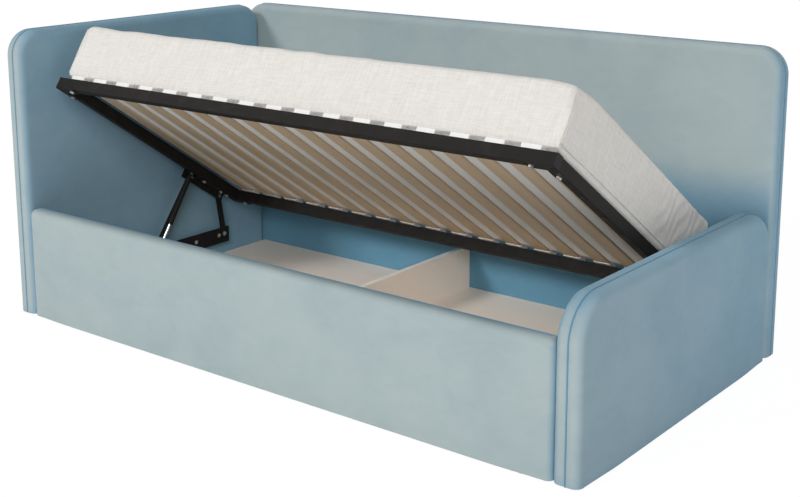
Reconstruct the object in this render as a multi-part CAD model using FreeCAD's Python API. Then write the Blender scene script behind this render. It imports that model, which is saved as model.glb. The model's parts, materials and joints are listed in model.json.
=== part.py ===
import FreeCAD, Part
import math
import os

# A single storage daybed with its slatted base lifted open.
# Millimetres and degrees. +X runs from the head panel to the foot panel, +Y from the front
# rail to the back panel, +Z is up, and the origin is on the floor under the bed's middle.

V = FreeCAD.Vector
os.makedirs("parts", exist_ok=True)

# Upholstered box
CAVITY_LENGTH = 1925.0
CAVITY_DEPTH = 997.0
PANEL_THICK = 75.0
RAIL_THICK = 52.0
TALL_HEIGHT = 910.0
FOOT_HEIGHT = 455.0
RAIL_HEIGHT = 352.0
TALL_CORNER = 80.0
FOOT_CORNER = 112.0
PANEL_ROUND = 22.0
RAIL_ROUND = 18.0
HEM_ROUND = 4.0
BOARD_THICK = 16.0
EDGE_FOAM = 26.0
GLIDE_HEIGHT = 5.0
GLIDE_RADIUS = 18.0
GLIDE_INSET = 90.0

# Storage floor and divider
FLOOR_THICK = 12.0
FLOOR_GAP = 0.5
DIVIDER_THICK = 16.0
DIVIDER_HEIGHT = 143.0
DIVIDER_OFFSET = -20.0

# Corner angles and studs that tie the box together
ANGLE_LEG = 42.0
ANGLE_TALL = 150.0
ANGLE_PLATE = 3.0
ANGLE_LIFT = 45.0
SCREW_RADIUS = 3.0
SCREW_HEAD_RADIUS = 6.0
SCREW_HEAD = 3.0
SCREW_BITE = 10.0
PANEL_STUD_RADIUS = 4.0
PANEL_STUD_BITE = 45.0
PANEL_STUD_STOP = 3.0
PANEL_STUD_LOW = 110.0
PANEL_STUD_DROP = 27.0

# Slatted steel frame, in its own plane: u runs forward from the rear edge, v up from the underside
FRAME_END_GAP = 60.5
FRAME_FRONT_GAP = 13.0
FRAME_REAR_GAP = 71.7
TUBE_WIDTH = 28.0
TUBE_HEIGHT = 35.0
TUBE_WALL = 2.0
CAP_THICK = 2.0
CAP_PLUG = 14.0
CORNER_LEG = 80.0
CORNER_PLATE = 3.0
SLAT_COUNT = 17
SLAT_WIDTH = 53.0
SLAT_THICK = 8.0
SLAT_END_MARGIN = 78.0
HOLDER_WALL = 2.0
HOLDER_LENGTH = 38.0
HOLDER_SETBACK = 2.0
MATTRESS_INSET = 1.0
MATTRESS_THICK = 180.0
MATTRESS_CROWN = 6.0
MATTRESS_DRAW = 3.0
MATTRESS_SWELL = 8.0
MATTRESS_CORNER = 42.0
MATTRESS_EDGE = 28.0
MATTRESS_HEM = 12.0

# Where the frame stands when it is open
OPEN_TILT = 34.35
OPEN_SETBACK = 212.8
OPEN_HEIGHT = 220.9

# Pivots: on the frame in u and v, on the base by setback from the back panel and height
FRONT_PIVOT_U = 216.9
FRONT_PIVOT_V = -3.3
REAR_PIVOT_U = 56.0
REAR_PIVOT_V = -7.2
STRUT_U = 241.0
STRUT_V = 6.0
BASE_FRONT_SETBACK = 576.2
BASE_FRONT_Z = 92.2
BASE_REAR_SETBACK = 239.0
BASE_REAR_Z = 98.6
STRUT_FOOT_SETBACK = 594.0
STRUT_FOOT_Z = 80.0

# Lift hardware
PLATE = 4.0
LINK_THICK = 5.0
LINK_HALF = 11.0
LANE_GAP = 2.5
PIN_RADIUS = 5.0
PIN_HEAD_RADIUS = 7.5
PIN_HEAD = 3.0
PIN_PLAY = 0.4
RUNNING_FIT = 0.08
SLOT_RUN = 10.9
SLOT_DROP = 12.3
SLOT_PLAY = 0.6
BASE_BELOW = 29.0
BASE_ABOVE = 21.0
BASE_END = 40.0
BASE_STANDOFF = 18.0
BOSS_RADIUS = 9.0
BRACKET_BELOW = 22.0
BRACKET_ABOVE = 14.0
BRACKET_END = 18.0
BOLT_RADIUS = 4.0
BOLT_HEAD_RADIUS = 7.5
BOLT_HEAD = 5.0
BOLT_TAIL = 12.0
FLANGE_BOLTS = 2
BASE_BOLTS = 4

# Gas struts
STRUT_LANE = 15.5
CYLINDER_RADIUS = 10.0
CYLINDER_WALL = 2.0
GAS_ROD_RADIUS = 5.0
ROD_SHOWN = 140.0
ROD_HIDDEN = 38.0
GLAND = 6.0
PISTON = 8.0
PISTON_PLAY = 0.1
STUD_RADIUS = 4.0
EYE_HALF = 5.5
TOP_EYE_PLAY = 4.4
EYE_WALL = 3.8
TOP_NECK = 20.0
NECK_RADIUS = 5.0
EAR_GAP = 5.0
EAR_HALF = 20.0

# Places worked out from the sizes above
X_IN = CAVITY_LENGTH / 2
X_OUT = X_IN + PANEL_THICK
Y_OUT = (RAIL_THICK + CAVITY_DEPTH + PANEL_THICK) / 2
Y_BACK = Y_OUT - PANEL_THICK
Y_RAIL = RAIL_THICK - Y_OUT
FLOOR_TOP = GLIDE_HEIGHT + FLOOR_THICK
FRAME_HALF = X_IN - FRAME_END_GAP
TUBE_END = FRAME_HALF - CAP_THICK
FRAME_DEPTH = CAVITY_DEPTH - FRAME_FRONT_GAP - FRAME_REAR_GAP
SIDE_TUBE_IN = TUBE_END - TUBE_WIDTH
HOLDER_TALL = SLAT_THICK + 2 * HOLDER_WALL
MATTRESS_BASE = TUBE_HEIGHT + HOLDER_TALL
BASE_OUT = X_IN - BASE_STANDOFF
BASE_X = BASE_OUT - PLATE
LINK_OUT = BASE_X - LANE_GAP
LINK_IN = LINK_OUT - LINK_THICK
LEG_OUT = LINK_IN - LANE_GAP
LEG_IN = LEG_OUT - PLATE
STRUT_X = LEG_IN - STRUT_LANE
EAR_OUT = STRUT_X - EYE_HALF - EAR_GAP
EAR_IN = EAR_OUT - PLATE
FOOT_EYE_RADIUS = STUD_RADIUS + EYE_WALL
TOP_EYE_RADIUS = STUD_RADIUS + TOP_EYE_PLAY + EYE_WALL
LIFT = FreeCAD.Placement(V(0, Y_BACK - OPEN_SETBACK, OPEN_HEIGHT), FreeCAD.Rotation(V(1, 0, 0), -OPEN_TILT))


def on_frame(u, v):
    """Where a point of the open frame's plane lies in the bed, at X = 0."""
    return LIFT.multVec(V(0, -u, v))


BASE_FRONT = V(0, Y_BACK - BASE_FRONT_SETBACK, BASE_FRONT_Z)
BASE_REAR = V(0, Y_BACK - BASE_REAR_SETBACK, BASE_REAR_Z)
SLOT_END = BASE_REAR + V(0, SLOT_RUN, -SLOT_DROP)
STRUT_FOOT = V(0, Y_BACK - STRUT_FOOT_SETBACK, STRUT_FOOT_Z)
FRAME_FRONT = on_frame(FRONT_PIVOT_U, FRONT_PIVOT_V)
FRAME_REAR = on_frame(REAR_PIVOT_U, REAR_PIVOT_V)
STRUT_TOP = on_frame(STRUT_U, STRUT_V)
STRUT_LINE = (STRUT_TOP - STRUT_FOOT) / (STRUT_TOP - STRUT_FOOT).Length
STRUT_LENGTH = (STRUT_TOP - STRUT_FOOT).Length


def block(x0, x1, y0, y1, z0, z1):
    """A box between two corners."""
    return Part.makeBox(x1 - x0, y1 - y0, z1 - z0, V(x0, y0, z0))


def across(point, x0, x1, radius):
    """A round bar along X through a point of the YZ plane."""
    return Part.makeCylinder(radius, x1 - x0, V(x0, point.y, point.z), V(1, 0, 0))


def along(start, direction, length, radius):
    """A round bar from a point along a direction."""
    return Part.makeCylinder(radius, length, start, direction)


def joined(shapes):
    """One solid from pieces that overlap."""
    return shapes[0].fuse(shapes[1:]).removeSplitter()


def without(shape, tools):
    """A solid with tools taken out of it."""
    return shape.cut(Part.makeCompound(tools))


def lifted(shape):
    """A shape of the frame's own plane, carried to the open frame."""
    return shape.transformed(LIFT.toMatrix())


def other_end(shape):
    """The foot end's piece, turned over to the head end."""
    return shape.mirror(V(0, 0, 0), V(1, 0, 0))


def both_ends(shapes):
    """A group of foot-end pieces and their twins at the head end."""
    return Part.makeCompound(shapes + [other_end(shape) for shape in shapes])


def slab(place, a0, a1, b0, b1, left_corner, right_corner, thick):
    """An upright slab whose two top corners are rounded.

    place maps a point of the slab's own plane to the bed, and thick is the way through it.
    """
    edges = []
    corner = 1 - math.sqrt(0.5)
    start, top_left = (a0, b0), (a0, b1 - left_corner)
    edges.append(Part.LineSegment(place(*start), place(*top_left)))
    if left_corner:
        mid = (a0 + corner * left_corner, b1 - corner * left_corner)
        edges.append(Part.Arc(place(*top_left), place(*mid), place(a0 + left_corner, b1)))
    edges.append(Part.LineSegment(place(a0 + left_corner, b1), place(a1 - right_corner, b1)))
    top_right = (a1, b1 - right_corner)
    if right_corner:
        mid = (a1 - corner * right_corner, b1 - corner * right_corner)
        edges.append(Part.Arc(place(a1 - right_corner, b1), place(*mid), place(*top_right)))
    edges.append(Part.LineSegment(place(*top_right), place(a1, b0)))
    edges.append(Part.LineSegment(place(a1, b0), place(*start)))
    return Part.Face(Part.Wire([edge.toShape() for edge in edges])).extrude(thick)


def softened(shape, radius, picks):
    """A slab with the edges that picks accepts rounded over."""
    return shape.makeFillet(radius, [edge for edge in shape.Edges if picks(edge)])


def in_face(edge, way, levels):
    """Whether an edge lies flat in one of the slab's two faces."""
    box = edge.BoundBox
    low, high = (box.XMin, box.XMax) if way == "x" else (box.YMin, box.YMax)
    return high - low < 1e-3 and min(abs(low - level) for level in levels) < 1e-3


def end_panel(height, corner):
    """The foot-end panel's padded outside and the board inside it."""
    def at(x):
        return lambda a, b: V(x, a, b)
    front = -Y_OUT
    outer = slab(at(X_IN), front, Y_BACK, GLIDE_HEIGHT, height, corner, corner, V(PANEL_THICK, 0, 0))
    padded = softened(outer, PANEL_ROUND, lambda edge: in_face(edge, "x", (X_IN, X_OUT))
                      and edge.BoundBox.ZMax > GLIDE_HEIGHT + 1)
    board_x = X_IN + (PANEL_THICK - BOARD_THICK) / 2
    board = slab(at(board_x), front + EDGE_FOAM, Y_BACK, GLIDE_HEIGHT, height - EDGE_FOAM,
                 max(corner - EDGE_FOAM, 0), corner, V(BOARD_THICK, 0, 0))
    return padded, board


def back_panel():
    """The back panel's padded outside and the board inside it."""
    def at(y):
        return lambda a, b: V(a, y, b)
    outer = slab(at(Y_BACK), -X_OUT, X_OUT, GLIDE_HEIGHT, TALL_HEIGHT, TALL_CORNER, TALL_CORNER,
                 V(0, PANEL_THICK, 0))
    padded = softened(outer, PANEL_ROUND, lambda edge: in_face(edge, "y", (Y_BACK, Y_OUT))
                      and edge.BoundBox.ZMax > GLIDE_HEIGHT + 1)
    board_y = Y_BACK + (PANEL_THICK - BOARD_THICK) / 2
    inset = max(TALL_CORNER - EDGE_FOAM, 0)
    board = slab(at(board_y), -X_OUT + EDGE_FOAM, X_OUT - EDGE_FOAM, GLIDE_HEIGHT,
                 TALL_HEIGHT - EDGE_FOAM, inset, inset, V(0, BOARD_THICK, 0))
    return padded, board


def front_rail():
    """The front rail's padded outside and the board inside it."""
    outer = block(-X_IN, X_IN, -Y_OUT, Y_RAIL, GLIDE_HEIGHT, RAIL_HEIGHT)

    def shows(edge):
        box = edge.BoundBox
        along_top = box.ZMin > RAIL_HEIGHT - 1 and box.XLength > X_IN
        up_front = box.YMax < 1 - Y_OUT and box.ZLength > RAIL_HEIGHT / 2
        return along_top or up_front
    padded = softened(outer, RAIL_ROUND, shows)
    padded = softened(padded, HEM_ROUND, lambda edge: edge.BoundBox.ZMax < GLIDE_HEIGHT + 1
                      and edge.BoundBox.XLength > X_IN)
    middle = (Y_RAIL - Y_OUT) / 2
    board = block(-X_IN, X_IN, middle - BOARD_THICK / 2, middle + BOARD_THICK / 2,
                  GLIDE_HEIGHT, RAIL_HEIGHT - EDGE_FOAM)
    return padded, board


def screw(seat, way, length):
    """A round-headed screw, its head on the seat and its shank going in along way."""
    head = along(seat - way * SCREW_HEAD, way, SCREW_HEAD, SCREW_HEAD_RADIUS)
    outer = [edge for edge in head.Edges if edge.CenterOfMass.sub(seat - way * SCREW_HEAD).Length < 0.5]
    head = head.makeFillet(SCREW_HEAD * 0.6, outer)
    return joined([head, along(seat - way * 0.5, way, length + 0.5, SCREW_RADIUS)])


def bolt(seat, way, length):
    """A hexagon bolt, its head on the seat and its shank going in along way."""
    corners = [V(BOLT_HEAD_RADIUS, 0, 0)]
    for step in range(1, 7):
        turn = math.radians(60 * step)
        corners.append(V(BOLT_HEAD_RADIUS * math.cos(turn), BOLT_HEAD_RADIUS * math.sin(turn), 0))
    head = Part.Face(Part.makePolygon(corners)).extrude(V(0, 0, -BOLT_HEAD))
    shank = Part.makeCylinder(BOLT_RADIUS, length + 0.5, V(0, 0, -0.5))
    turned = FreeCAD.Placement(seat, FreeCAD.Rotation(V(0, 0, 1), way))
    return joined([head, shank]).transformed(turned.toMatrix())


def corner_angle():
    """The steel angle between the foot panel and the front rail, and its screws."""
    low = FLOOR_TOP + ANGLE_LIFT
    high = low + ANGLE_TALL
    panel_depth = (PANEL_THICK - BOARD_THICK) / 2 + SCREW_BITE + ANGLE_PLATE
    rail_depth = (RAIL_THICK - BOARD_THICK) / 2 + SCREW_BITE + ANGLE_PLATE
    side_leg = block(X_IN - ANGLE_PLATE, X_IN, Y_RAIL, Y_RAIL + ANGLE_LEG, low, high)
    front_leg = block(X_IN - ANGLE_LEG, X_IN, Y_RAIL, Y_RAIL + ANGLE_PLATE, low, high)
    reach = (ANGLE_LEG + ANGLE_PLATE) / 2
    screws = []
    for z in (low + ANGLE_TALL / 5, high - ANGLE_TALL / 5):
        screws.append(screw(V(X_IN - ANGLE_PLATE, Y_RAIL + reach, z), V(1, 0, 0), panel_depth))
        screws.append(screw(V(X_IN - reach, Y_RAIL + ANGLE_PLATE, z), V(0, -1, 0), rail_depth))
    return without(joined([side_leg, front_leg]), screws), screws


def panel_studs():
    """The studs that hold the foot panel's rear edge to the back panel, hidden in their boards."""
    x = X_IN + PANEL_THICK / 2
    length = PANEL_STUD_BITE + (PANEL_THICK + BOARD_THICK) / 2 - PANEL_STUD_STOP
    high = FOOT_HEIGHT - FOOT_CORNER - EDGE_FOAM - PANEL_STUD_DROP
    return [along(V(x, Y_BACK - PANEL_STUD_BITE, z), V(0, 1, 0), length, PANEL_STUD_RADIUS)
            for z in (PANEL_STUD_LOW, high)]


def storage_floor():
    """The two floor boards that meet under the divider, and the divider standing on them."""
    front, back = Y_RAIL + FLOOR_GAP, Y_BACK - FLOOR_GAP
    head = block(-X_IN + FLOOR_GAP, DIVIDER_OFFSET, front, back, GLIDE_HEIGHT, FLOOR_TOP)
    foot = block(DIVIDER_OFFSET, X_IN - FLOOR_GAP, front, back, GLIDE_HEIGHT, FLOOR_TOP)
    half = DIVIDER_THICK / 2
    divider = block(DIVIDER_OFFSET - half, DIVIDER_OFFSET + half, Y_RAIL, Y_BACK,
                    FLOOR_TOP, FLOOR_TOP + DIVIDER_HEIGHT)
    return head, foot, divider


def floor_glides():
    """Round glides under the panels, the rail and the storage floor."""
    rail_y, back_y = (Y_RAIL - Y_OUT) / 2, (Y_BACK + Y_OUT) / 2
    end_x = (X_IN + X_OUT) / 2
    spots = []
    for x in (-end_x, end_x):
        spots += [(x, -Y_OUT + GLIDE_INSET), (x, 0), (x, Y_BACK - GLIDE_INSET)]
    for y in (rail_y, back_y):
        spots += [(-X_IN + GLIDE_INSET, y), (DIVIDER_OFFSET, y), (X_IN - GLIDE_INSET, y)]
    for x in (-X_IN / 2, DIVIDER_OFFSET - GLIDE_INSET, DIVIDER_OFFSET + GLIDE_INSET, X_IN / 2):
        spots += [(x, Y_RAIL + GLIDE_INSET), (x, Y_BACK - GLIDE_INSET)]
    return Part.makeCompound([Part.makeCylinder(GLIDE_RADIUS, GLIDE_HEIGHT, V(x, y, 0)) for x, y in spots])


def base_bolt_spots():
    """Where a lift base is bolted: once in front of the front link's pin, the rest behind it."""
    first, last = BASE_FRONT.y - BASE_END / 2, BASE_REAR.y - 2 * BOLT_HEAD_RADIUS - PIN_HEAD_RADIUS
    step = (last - first) / (BASE_BOLTS - 1)
    height = (BASE_FRONT_Z + BASE_REAR_Z) / 2
    return [V(0, first + step * n, height) for n in range(BASE_BOLTS)]


def base_bolts():
    """The bolts that hold a lift base to the foot panel's board."""
    depth = PLATE + BASE_STANDOFF + (PANEL_THICK - BOARD_THICK) / 2 + SCREW_BITE
    return [bolt(V(BASE_X, spot.y, spot.z), V(1, 0, 0), depth) for spot in base_bolt_spots()]


def lift_base(bolts):
    """The steel angle, set off the foot panel on bosses, that carries the links and the strut."""
    ear_front, ear_back = STRUT_FOOT.y - EAR_HALF, STRUT_FOOT.y + EAR_HALF
    front = min(BASE_FRONT.y - BASE_END, ear_front)
    back = max(SLOT_END.y + BASE_END / 2, ear_back)
    low = min(BASE_FRONT.z, BASE_REAR.z, STRUT_FOOT.z + BASE_BELOW / 2) - BASE_BELOW
    high = max(BASE_FRONT.z, BASE_REAR.z) + BASE_ABOVE
    upright = block(BASE_X, BASE_OUT, front, back, low, high)
    flange = block(BASE_X, X_IN, front, back, low, low + PLATE)
    bosses = [across(spot, BASE_OUT - 1, X_IN, BOSS_RADIUS) for spot in base_bolt_spots()]
    tab = block(EAR_IN, X_IN, ear_front, ear_back, low, low + PLATE)
    ear_base = block(EAR_IN, EAR_OUT, ear_front, ear_back, low, STRUT_FOOT.z)
    ear_top = across(STRUT_FOOT, EAR_IN, EAR_OUT, EAR_HALF)
    slot_radius = PIN_RADIUS + SLOT_PLAY
    slot_way = SLOT_END - BASE_REAR
    side = V(0, -slot_way.z, slot_way.y) * (slot_radius / slot_way.Length)
    corners = [BASE_REAR + side, SLOT_END + side, SLOT_END - side, BASE_REAR - side, BASE_REAR + side]
    channel = Part.Face(Part.makePolygon(corners)).extrude(V(X_IN, 0, 0))
    slot = [across(BASE_REAR, 0, X_IN, slot_radius), across(SLOT_END, 0, X_IN, slot_radius), channel]
    holes = [across(BASE_FRONT, 0, X_IN, PIN_RADIUS), across(STRUT_FOOT, 0, STRUT_X, STUD_RADIUS)]
    return without(joined([upright, flange, tab, ear_base, ear_top] + bosses), slot + holes + bolts)


def headed_pin(point, head_x, tip_x, radius, head_radius, head):
    """A pin along +X whose head is on its inner end."""
    return joined([across(point, head_x, head_x + head, head_radius), across(point, head_x + 0.5, tip_x, radius)])


def base_pins():
    """The front link's pin in the base and the stud that the strut's foot turns on."""
    pin = headed_pin(BASE_FRONT, LINK_IN - PIN_PLAY - PIN_HEAD, BASE_OUT, PIN_RADIUS, PIN_HEAD_RADIUS, PIN_HEAD)
    tip = STRUT_X + EYE_HALF + PIN_PLAY
    stud = across(STRUT_FOOT, EAR_IN, tip + 0.5, STUD_RADIUS)
    return [pin, joined([stud, across(STRUT_FOOT, tip, tip + PIN_HEAD, PIN_HEAD_RADIUS - 1)])]


def link(low, high, low_fit, high_fit):
    """A flat link between two pivots, with a hole for each pin."""
    way = high - low
    side = V(0, -way.z, way.y) * (LINK_HALF / way.Length)
    corners = [low + side, high + side, high - side, low - side, low + side]
    bar = Part.Face(Part.makePolygon(corners)).extrude(V(LINK_THICK, 0, 0))
    bar.translate(V(LINK_IN, 0, 0))
    ends = [across(point, LINK_IN, LINK_OUT, LINK_HALF) for point in (low, high)]
    holes = [across(low, 0, X_IN, PIN_RADIUS + low_fit), across(high, 0, X_IN, PIN_RADIUS + high_fit)]
    return without(joined([bar] + ends), holes)


def rear_link_pin():
    """The pin fixed in the rear link's foot, which runs in the base's slot and is held by a collar."""
    collar = BASE_OUT + PIN_PLAY
    tip = collar + PIN_HEAD
    pin = headed_pin(BASE_REAR, LINK_IN - PIN_HEAD, tip, PIN_RADIUS, PIN_HEAD_RADIUS, PIN_HEAD)
    return joined([pin, across(BASE_REAR, collar, tip, PIN_HEAD_RADIUS)])


def frame_pins():
    """The two link pins and the strut's stud on a frame bracket."""
    pins = []
    for point in (FRAME_FRONT, FRAME_REAR):
        pin = headed_pin(point, LEG_IN - PIN_HEAD, LINK_OUT + PIN_PLAY + 1, PIN_RADIUS, PIN_HEAD_RADIUS, PIN_HEAD)
        ring = across(point, LINK_OUT + PIN_PLAY, LINK_OUT + PIN_PLAY + 1, PIN_HEAD_RADIUS - 1)
        pins.append(joined([pin, ring]))
    tip = STRUT_X - EYE_HALF - PIN_PLAY
    head = across(STRUT_TOP, tip - PIN_HEAD, tip, TOP_EYE_RADIUS - 2)
    pins.append(joined([head, across(STRUT_TOP, tip - 0.5, LEG_OUT, STUD_RADIUS)]))
    return pins


def bracket_flange():
    """Where a frame bracket's flange starts and ends along the side tube."""
    return CORNER_LEG + CORNER_PLATE, FRONT_PIVOT_U - PIN_HEAD_RADIUS - CORNER_PLATE


def flange_bolts():
    """The bolts that hold a frame bracket up under the side tube."""
    start, end = bracket_flange()
    edge = 2 * BOLT_HEAD_RADIUS
    step = (end - start - 2 * edge) / (FLANGE_BOLTS - 1)
    middle = (SIDE_TUBE_IN + TUBE_END) / 2
    length = PLATE + BOLT_TAIL
    return [bolt(V(middle, -(start + edge + step * n), -PLATE), V(0, 0, 1), length) for n in range(FLANGE_BOLTS)]


def frame_bracket(bolts):
    """The steel angle under the foot-end tube that the links and the strut hang from."""
    back, front = REAR_PIVOT_U - BRACKET_END, STRUT_U + BRACKET_END
    leg = block(LEG_IN, LEG_OUT, -front, -back, -BRACKET_BELOW, BRACKET_ABOVE)
    start, end = bracket_flange()
    flange = block(SIDE_TUBE_IN, LEG_OUT, -end, -start, -PLATE, 0)
    plate = without(joined([leg, flange]), bolts)
    holes = [across(FRAME_FRONT, 0, X_IN, PIN_RADIUS), across(FRAME_REAR, 0, X_IN, PIN_RADIUS),
             across(STRUT_TOP, 0, X_IN, STUD_RADIUS)]
    return without(lifted(plate), holes)


def gas_rod():
    """A strut's rod with the eye at its foot and the piston at its top."""
    foot = V(STRUT_X, STRUT_FOOT.y, STRUT_FOOT.z)
    eye = across(STRUT_FOOT, STRUT_X - EYE_HALF, STRUT_X + EYE_HALF, FOOT_EYE_RADIUS)
    bar = along(foot, STRUT_LINE, ROD_SHOWN + ROD_HIDDEN, GAS_ROD_RADIUS)
    top = foot + STRUT_LINE * (ROD_SHOWN + ROD_HIDDEN - PISTON)
    piston = along(top, STRUT_LINE, PISTON, CYLINDER_RADIUS - CYLINDER_WALL - PISTON_PLAY)
    hole = across(STRUT_FOOT, 0, X_IN, STUD_RADIUS + RUNNING_FIT)
    return without(joined([eye, bar, piston]), [hole])


def gas_cylinder():
    """A strut's cylinder, open at its gland, with the eye at its top."""
    foot = V(STRUT_X, STRUT_FOOT.y, STRUT_FOOT.z)
    low = foot + STRUT_LINE * ROD_SHOWN
    tall = STRUT_LENGTH - ROD_SHOWN - TOP_NECK
    body = along(low, STRUT_LINE, tall, CYLINDER_RADIUS)
    rims = [edge for edge in body.Edges if edge.Curve.TypeId == "Part::GeomCircle"]
    body = body.makeFillet(CYLINDER_WALL, rims)
    neck = along(low, STRUT_LINE, tall + TOP_NECK, NECK_RADIUS)
    eye = across(STRUT_TOP, STRUT_X - EYE_HALF, STRUT_X + EYE_HALF, TOP_EYE_RADIUS)
    bore = along(low + STRUT_LINE * GLAND, STRUT_LINE, tall - 2 * GLAND, CYLINDER_RADIUS - CYLINDER_WALL)
    gland = along(low - STRUT_LINE, STRUT_LINE, GLAND + 2, GAS_ROD_RADIUS + RUNNING_FIT)
    hole = across(STRUT_TOP, 0, X_IN, STUD_RADIUS + TOP_EYE_PLAY)
    return without(joined([body, neck, eye]), [bore, gland, hole])


def tube_x(u0):
    """A rail tube across the bed, its rear side at u0."""
    outer = block(-TUBE_END, TUBE_END, -u0 - TUBE_WIDTH, -u0, 0, TUBE_HEIGHT)
    rounded = outer.makeFillet(TUBE_WALL, [edge for edge in outer.Edges if edge.BoundBox.XLength > TUBE_END])
    inner = block(-TUBE_END, TUBE_END, -u0 - TUBE_WIDTH + TUBE_WALL, -u0 - TUBE_WALL,
                  TUBE_WALL, TUBE_HEIGHT - TUBE_WALL)
    return rounded.cut(inner)


def side_tube():
    """The foot-end tube between the front and rear tubes."""
    back, front = TUBE_WIDTH, FRAME_DEPTH - TUBE_WIDTH
    outer = block(SIDE_TUBE_IN, TUBE_END, -front, -back, 0, TUBE_HEIGHT)
    rounded = outer.makeFillet(TUBE_WALL, [edge for edge in outer.Edges if edge.BoundBox.YLength > back])
    inner = block(SIDE_TUBE_IN + TUBE_WALL, TUBE_END - TUBE_WALL, -front, -back,
                  TUBE_WALL, TUBE_HEIGHT - TUBE_WALL)
    return rounded.cut(inner)


def tube_caps():
    """The plugs in the foot ends of the front and rear tubes."""
    caps = []
    for u0 in (0, FRAME_DEPTH - TUBE_WIDTH):
        face = block(TUBE_END, FRAME_HALF, -u0 - TUBE_WIDTH, -u0, 0, TUBE_HEIGHT)
        plug = block(TUBE_END - CAP_PLUG, TUBE_END, -u0 - TUBE_WIDTH + TUBE_WALL, -u0 - TUBE_WALL,
                     TUBE_WALL, TUBE_HEIGHT - TUBE_WALL)
        caps.append(joined([face, plug]))
    return caps


def corner_plates():
    """The foot end's two corner plates under the tubes, and their bolts."""
    plates, bolts = [], []
    middle_x = (SIDE_TUBE_IN + TUBE_END) / 2
    edge = CORNER_LEG - 2 * BOLT_HEAD_RADIUS
    for corner_u, inward in ((0, 1), (FRAME_DEPTH, -1)):
        far, near = corner_u + inward * CORNER_LEG, corner_u + inward * TUBE_WIDTH
        leg_u = block(SIDE_TUBE_IN, TUBE_END, -max(corner_u, far), -min(corner_u, far), -CORNER_PLATE, 0)
        leg_x = block(TUBE_END - CORNER_LEG, TUBE_END, -max(corner_u, near), -min(corner_u, near), -CORNER_PLATE, 0)
        seats = (V(middle_x, -(corner_u + inward * edge), -CORNER_PLATE),
                 V(TUBE_END - edge, -(corner_u + inward * TUBE_WIDTH / 2), -CORNER_PLATE))
        pair = [bolt(seat, V(0, 0, 1), CORNER_PLATE + BOLT_TAIL) for seat in seats]
        plates.append(without(joined([leg_u, leg_x]), pair))
        bolts += pair
    return plates, bolts


def slat_places():
    """The X of each slat's middle."""
    first = -FRAME_HALF + SLAT_END_MARGIN
    pitch = 2 * (FRAME_HALF - SLAT_END_MARGIN) / (SLAT_COUNT - 1)
    return [first + pitch * n for n in range(SLAT_COUNT)]


def slat(x):
    """One sprung wooden slat, its ends in the holders."""
    end = HOLDER_SETBACK + HOLDER_WALL
    low = TUBE_HEIGHT + HOLDER_WALL
    bar = block(x - SLAT_WIDTH / 2, x + SLAT_WIDTH / 2, end - FRAME_DEPTH, -end, low, low + SLAT_THICK)
    return bar.makeFillet(SLAT_THICK / 4, [edge for edge in bar.Edges if edge.BoundBox.YLength > SLAT_WIDTH])


def holders(slats, rear):
    """The plastic pockets that carry the slats' ends on one tube."""
    start = HOLDER_SETBACK if rear else FRAME_DEPTH - HOLDER_SETBACK - HOLDER_LENGTH
    half = SLAT_WIDTH / 2 + HOLDER_WALL
    pockets = []
    for x, bar in zip(slat_places(), slats):
        shell = block(x - half, x + half, -start - HOLDER_LENGTH, -start, TUBE_HEIGHT, MATTRESS_BASE)
        upright = [edge for edge in shell.Edges if edge.BoundBox.ZLength > HOLDER_WALL]
        pockets.append(shell.makeFillet(HOLDER_WALL, upright).cut(bar))
    return Part.makeCompound(pockets)


def mattress_outline(inset, z):
    """The mattress's plan at one height: sides that bow inward between round corners."""
    half = FRAME_HALF - MATTRESS_INSET - inset
    back, front = -MATTRESS_INSET - inset, MATTRESS_INSET - FRAME_DEPTH + inset
    middle = (back + front) / 2
    bow, turn = MATTRESS_DRAW, max(MATTRESS_CORNER - inset, MATTRESS_CORNER / 3)
    cut = turn * (1 - math.sqrt(0.5))
    stops = [(half - turn, front), (half, front + turn), (half, back - turn), (half - turn, back),
             (turn - half, back), (-half, back - turn), (-half, front + turn), (turn - half, front)]
    mids = [(half - cut, front + cut), (half - bow, middle), (half - cut, back - cut), (0, back - bow),
            (cut - half, back - cut), (bow - half, middle), (cut - half, front + cut), (0, front + bow)]
    arcs = []
    for n, (start, mid) in enumerate(zip(stops, mids)):
        end = stops[(n + 1) % len(stops)]
        arcs.append(Part.Arc(V(*start, z), V(*mid, z), V(*end, z)).toShape())
    return Part.Wire(arcs)


def mattress():
    """The mattress: swollen sides, edges rounded over and a crowned top."""
    plans = []
    for turn in (0, 45, 90):
        inset = MATTRESS_HEM * (1 - math.sin(math.radians(turn)))
        plans.append((inset, MATTRESS_HEM * (1 - math.cos(math.radians(turn)))))
    plans.append((0, MATTRESS_THICK / 2))
    for turn in (0, 30, 60, 90):
        inset = MATTRESS_EDGE * (1 - math.cos(math.radians(turn)))
        plans.append((inset, MATTRESS_THICK - MATTRESS_EDGE * (1 - math.sin(math.radians(turn)))))
    plans = [(inset - MATTRESS_SWELL * (1 - (2 * z / MATTRESS_THICK - 1) ** 2), z) for inset, z in plans]
    reach = FRAME_DEPTH / 2 - MATTRESS_INSET - MATTRESS_EDGE
    for share in (0.3, 0.6, 0.9):
        rise = MATTRESS_CROWN * (1 - (1 - share) ** 2)
        plans.append((MATTRESS_EDGE + share * reach, MATTRESS_THICK + rise))
    wires = [mattress_outline(inset, MATTRESS_BASE + z) for inset, z in plans]
    return Part.makeLoft(wires, True, True)


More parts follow.
